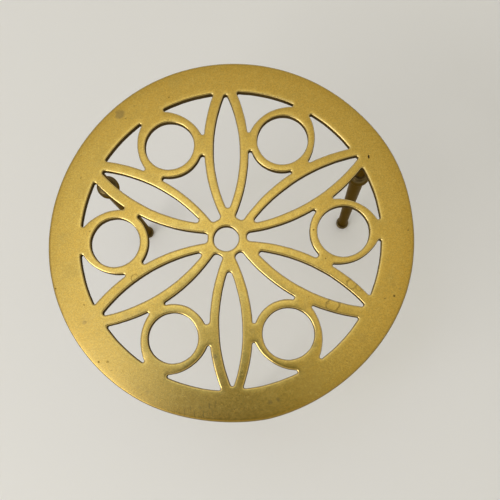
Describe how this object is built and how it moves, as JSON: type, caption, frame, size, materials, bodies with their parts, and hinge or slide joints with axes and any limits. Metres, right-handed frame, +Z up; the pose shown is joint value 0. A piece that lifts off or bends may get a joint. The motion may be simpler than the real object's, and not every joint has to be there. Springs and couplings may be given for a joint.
{
  "type": "trivet",
  "caption": "Round pierced brass trivet: a rosette of pointed petals and rings inside a broad flat rim, standing on tall turned legs under the rim.",
  "frame": {"origin": "centre of the plate's rim, on the surface that the three feet stand on", "axes": "+Z up through the plate; +Y from the front leg towards the two rear legs; +X to the right as seen from above with the front leg nearest"},
  "size_m": [0.2, 0.2, 0.192],
  "materials": {
    "plate_brass": "satin, worn and hand-polished, with softened edges and a few stains",
    "leg_brass": "turned, duller and darker than the plate"
  },
  "bodies": {
    "root": {"rosette_plate": "plate_brass", "leg_rear_right": "leg_brass", "leg_rear_left": "leg_brass", "leg_front": "leg_brass"}
  },
  "joints": []
}
